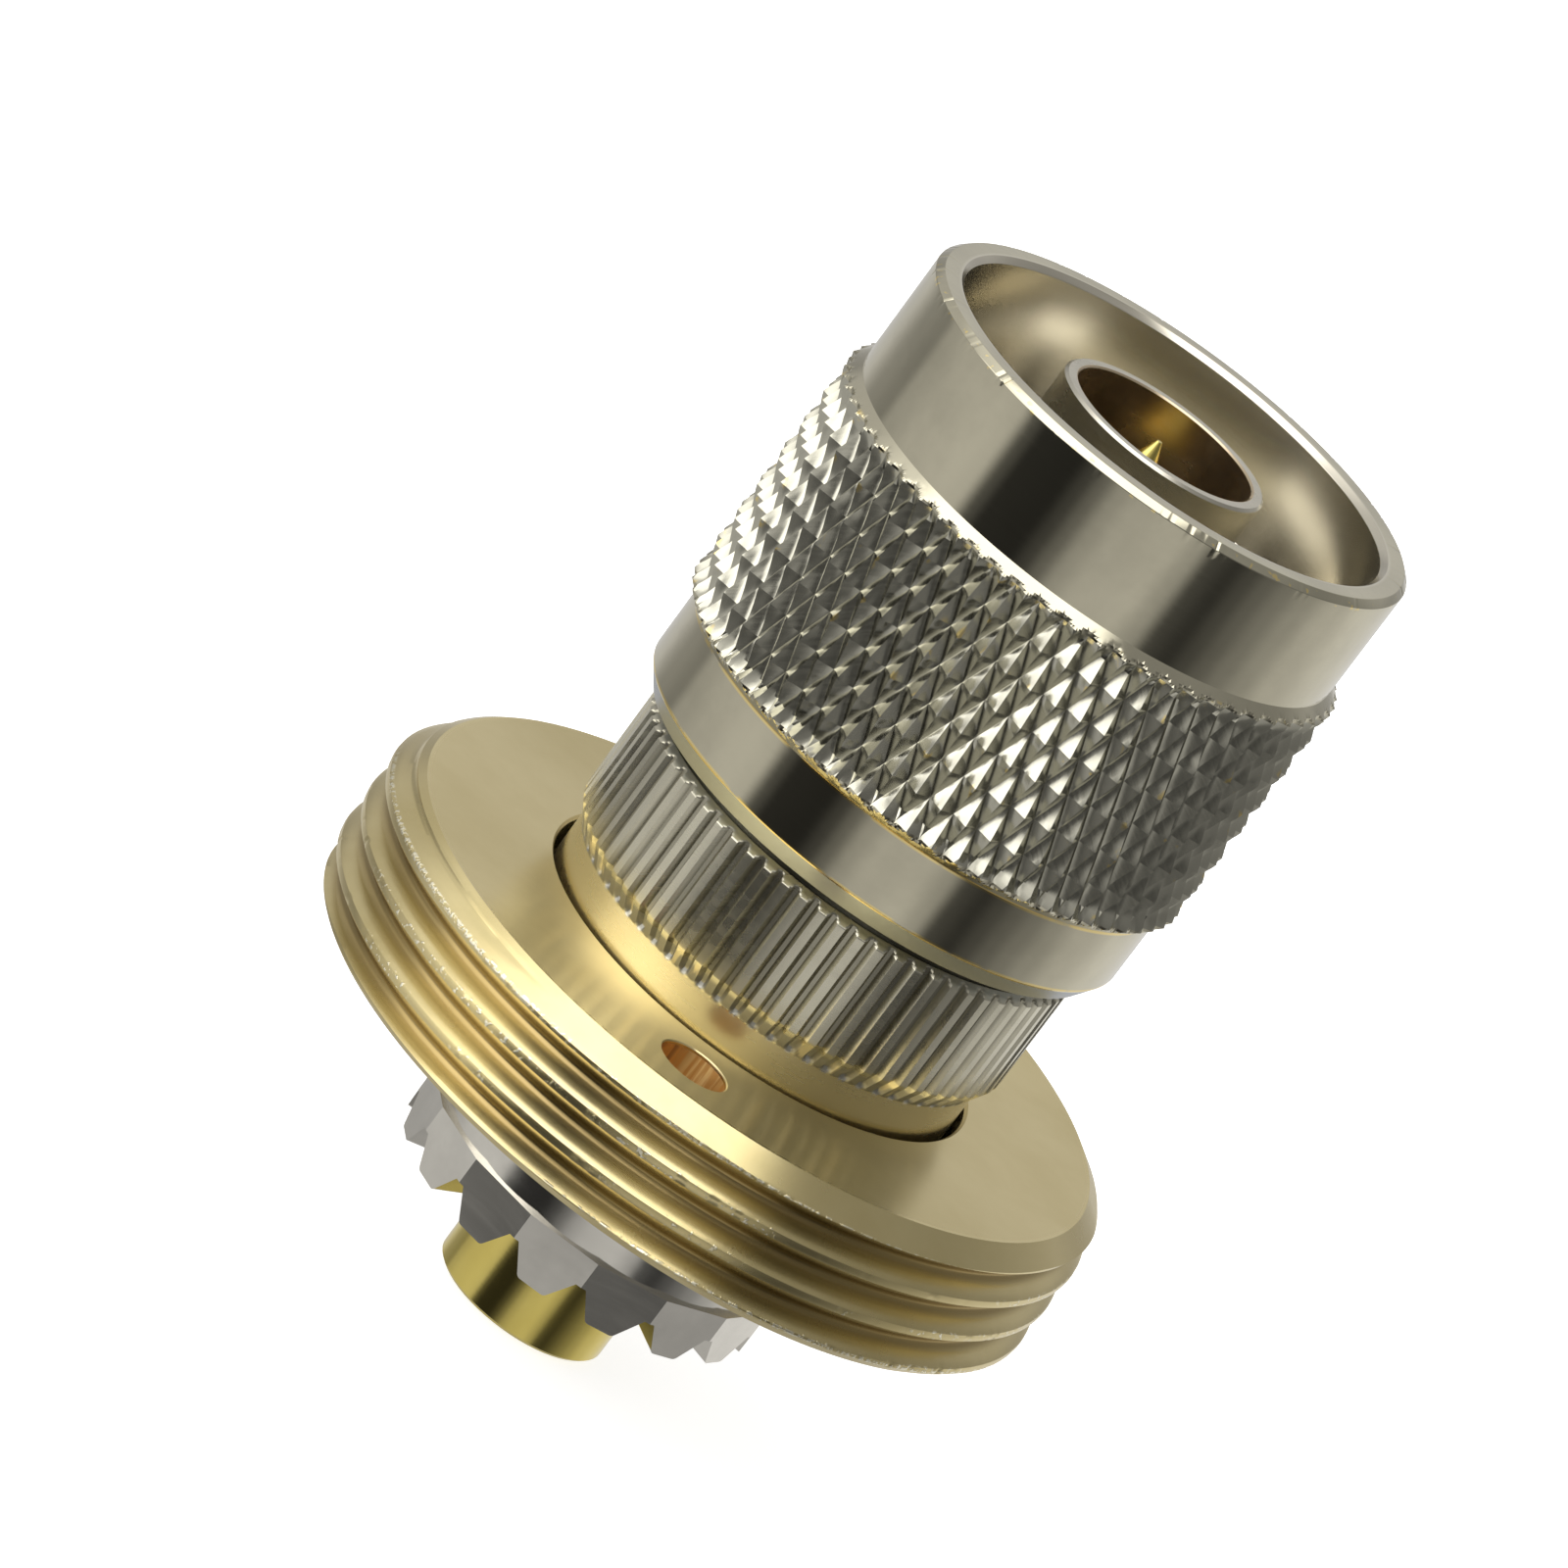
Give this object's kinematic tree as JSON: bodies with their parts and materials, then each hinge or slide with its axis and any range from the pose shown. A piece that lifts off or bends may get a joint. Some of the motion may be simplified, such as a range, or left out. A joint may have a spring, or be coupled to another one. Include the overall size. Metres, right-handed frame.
{
  "type": "coaxial adapter",
  "caption": "Coaxial adapter: a plug with a knurled coupling nut on a threaded brass fastening ring, with a toothed crown and a gold contact sleeve below.",
  "frame": {"origin": "on the axis, at the flat end of the gold sleeve that the adapter stands on", "axes": "+Z along the axis of the adapter, from the gold sleeve to the mouth of the coupling nut; -Y towards the spanner hole that faces the camera"},
  "size_m": [0.029, 0.029, 0.0391],
  "materials": {
    "nut_nickel": "bright nickel plating on turned and knurled brass",
    "body_nickel": "bright nickel plating on knurled brass",
    "tube_nickel": "bright plating on a turned brass tube",
    "crown_nickel": "satin nickel plating, milled teeth",
    "ring_brass": "bare turned brass, satin, with burrs on the thread",
    "bush_brass": "bare turned brass",
    "gold_plating": "hard gold plating on brass or copper alloy",
    "spring_steel": "plain spring metal",
    "bead_plastic": "clean translucent-white insulator, slightly glossy"
  },
  "bodies": {
    "adapter_body": {"knurled_body": "body_nickel", "nut_snap_ring": "spring_steel", "outer_conductor": "tube_nickel", "centre_conductor": "gold_plating", "front_bead": "bead_plastic", "line_bush": "bush_brass", "crown_ring": "crown_nickel", "port_sleeve": "gold_plating", "rear_bead": "bead_plastic", "rear_contact": "gold_plating"},
    "nut": {"coupling_nut": "nut_nickel"},
    "ring": {"threaded_ring": "ring_brass"}
  },
  "joints": [
    {"name": "nut_spin", "type": "hinge", "parent": "adapter_body", "child": "nut", "pos_m": [0, 0, 0.022], "axis": [0, 0, 1], "continuous": true},
    {"name": "ring_spin", "type": "hinge", "parent": "adapter_body", "child": "ring", "pos_m": [0, 0, 0.012], "axis": [0, 0, 1], "continuous": true}
  ]
}
